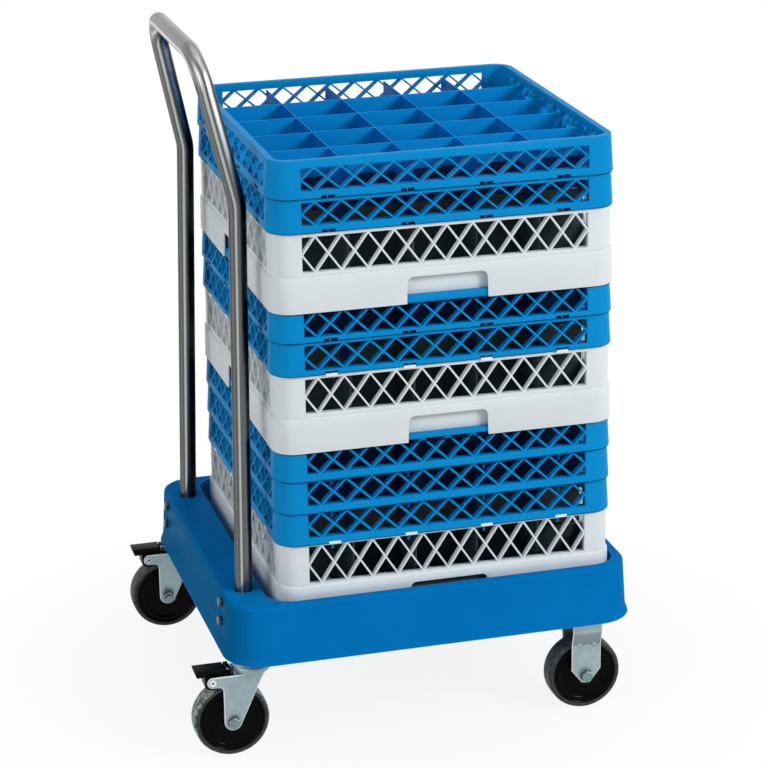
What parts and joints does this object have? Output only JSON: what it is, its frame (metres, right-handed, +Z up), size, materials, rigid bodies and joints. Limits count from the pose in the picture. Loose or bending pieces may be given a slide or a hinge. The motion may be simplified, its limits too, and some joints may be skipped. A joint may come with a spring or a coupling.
{
  "type": "dish rack dolly",
  "caption": "Wheeled dish rack dolly: moulded square deck, bent tube push handle, braked swivel and rigid casters, and a lift-off stack of latticed racks and extenders.",
  "frame": {"origin": "centre of the whole outline, on the floor", "axes": "+Z up, +X forward away from the push handle, +Y to the left of someone pushing"},
  "size_m": [0.66, 0.56, 1.0095],
  "materials": {
    "deck_plastic": "moulded blue plastic, lightly textured",
    "rack_blue": "moulded blue plastic, soft shine",
    "rack_pale": "moulded pale grey plastic, soft shine",
    "handle_steel": "satin stainless tube",
    "zinc": "zinc-plated pressed steel",
    "fastener": "plated bolts and nuts",
    "hub_black": "glossy black plastic",
    "tyre_rubber": "dark grey rubber",
    "pedal_black": "black painted pressed steel"
  },
  "bodies": {
    "dolly": {"deck": "deck_plastic", "handle": "handle_steel", "handle_bolts": "fastener", "rear_right_swivel_head": "zinc", "rear_left_swivel_head": "zinc", "front_right_fork": "zinc", "front_right_axle_bolt": "fastener", "front_right_axle_nut": "fastener", "front_left_fork": "zinc", "front_left_axle_bolt": "fastener", "front_left_axle_nut": "fastener"},
    "rear_right_swivel": {"rear_right_fork": "zinc", "rear_right_axle_bolt": "fastener", "rear_right_axle_nut": "fastener", "rear_right_pedal_pin": "fastener"},
    "rear_right_wheel": {"rear_right_hub": "hub_black", "rear_right_tyre": "tyre_rubber"},
    "rear_right_brake": {"rear_right_brake_pedal": "pedal_black"},
    "rear_left_swivel": {"rear_left_fork": "zinc", "rear_left_axle_bolt": "fastener", "rear_left_axle_nut": "fastener", "rear_left_pedal_pin": "fastener"},
    "rear_left_wheel": {"rear_left_hub": "hub_black", "rear_left_tyre": "tyre_rubber"},
    "rear_left_brake": {"rear_left_brake_pedal": "pedal_black"},
    "front_right_wheel": {"front_right_hub": "hub_black", "front_right_tyre": "tyre_rubber"},
    "front_left_wheel": {"front_left_hub": "hub_black", "front_left_tyre": "tyre_rubber"},
    "lower_racks": {"lower_base_rack": "rack_pale", "lower_extender_1": "rack_blue", "lower_extender_2": "rack_blue", "lower_extender_3": "rack_blue", "lower_dividers": "rack_blue"},
    "middle_racks": {"middle_base_rack": "rack_pale", "middle_extender_1": "rack_blue", "middle_extender_2": "rack_blue", "middle_dividers": "rack_blue"},
    "upper_racks": {"upper_base_rack": "rack_pale", "upper_extender_1": "rack_blue", "upper_extender_2": "rack_blue", "upper_dividers": "rack_blue"}
  },
  "joints": [
    {"name": "rear_right_swivel_turn", "type": "hinge", "parent": "dolly", "child": "rear_right_swivel", "pos_m": [-0.2445, -0.236, 0.126], "axis": [0, 0, 1], "continuous": true},
    {"name": "rear_right_wheel_spin", "type": "hinge", "parent": "rear_right_swivel", "child": "rear_right_wheel", "pos_m": [-0.2765, -0.236, 0.055], "axis": [0, 1, 0], "continuous": true},
    {"name": "rear_right_brake_press", "type": "hinge", "parent": "rear_right_swivel", "child": "rear_right_brake", "pos_m": [-0.3045, -0.236, 0.119], "axis": [0, -1, 0], "range_deg": [0, 18]},
    {"name": "rear_left_swivel_turn", "type": "hinge", "parent": "dolly", "child": "rear_left_swivel", "pos_m": [-0.2445, 0.236, 0.126], "axis": [0, 0, 1], "continuous": true},
    {"name": "rear_left_wheel_spin", "type": "hinge", "parent": "rear_left_swivel", "child": "rear_left_wheel", "pos_m": [-0.2765, 0.236, 0.055], "axis": [0, 1, 0], "continuous": true},
    {"name": "rear_left_brake_press", "type": "hinge", "parent": "rear_left_swivel", "child": "rear_left_brake", "pos_m": [-0.3045, 0.236, 0.119], "axis": [0, -1, 0], "range_deg": [0, 18]},
    {"name": "front_right_wheel_spin", "type": "hinge", "parent": "dolly", "child": "front_right_wheel", "pos_m": [0.2555, -0.236, 0.055], "axis": [0, 1, 0], "continuous": true},
    {"name": "front_left_wheel_spin", "type": "hinge", "parent": "dolly", "child": "front_left_wheel", "pos_m": [0.2555, 0.236, 0.055], "axis": [0, 1, 0], "continuous": true},
    {"name": "lower_racks_lift", "type": "slide", "parent": "dolly", "child": "lower_racks", "axis": [0, 0, 1], "range_m": [0, 0.12]},
    {"name": "middle_racks_lift", "type": "slide", "parent": "lower_racks", "child": "middle_racks", "axis": [0, 0, 1], "range_m": [0, 0.12]},
    {"name": "upper_racks_lift", "type": "slide", "parent": "middle_racks", "child": "upper_racks", "axis": [0, 0, 1], "range_m": [0, 0.12]}
  ]
}
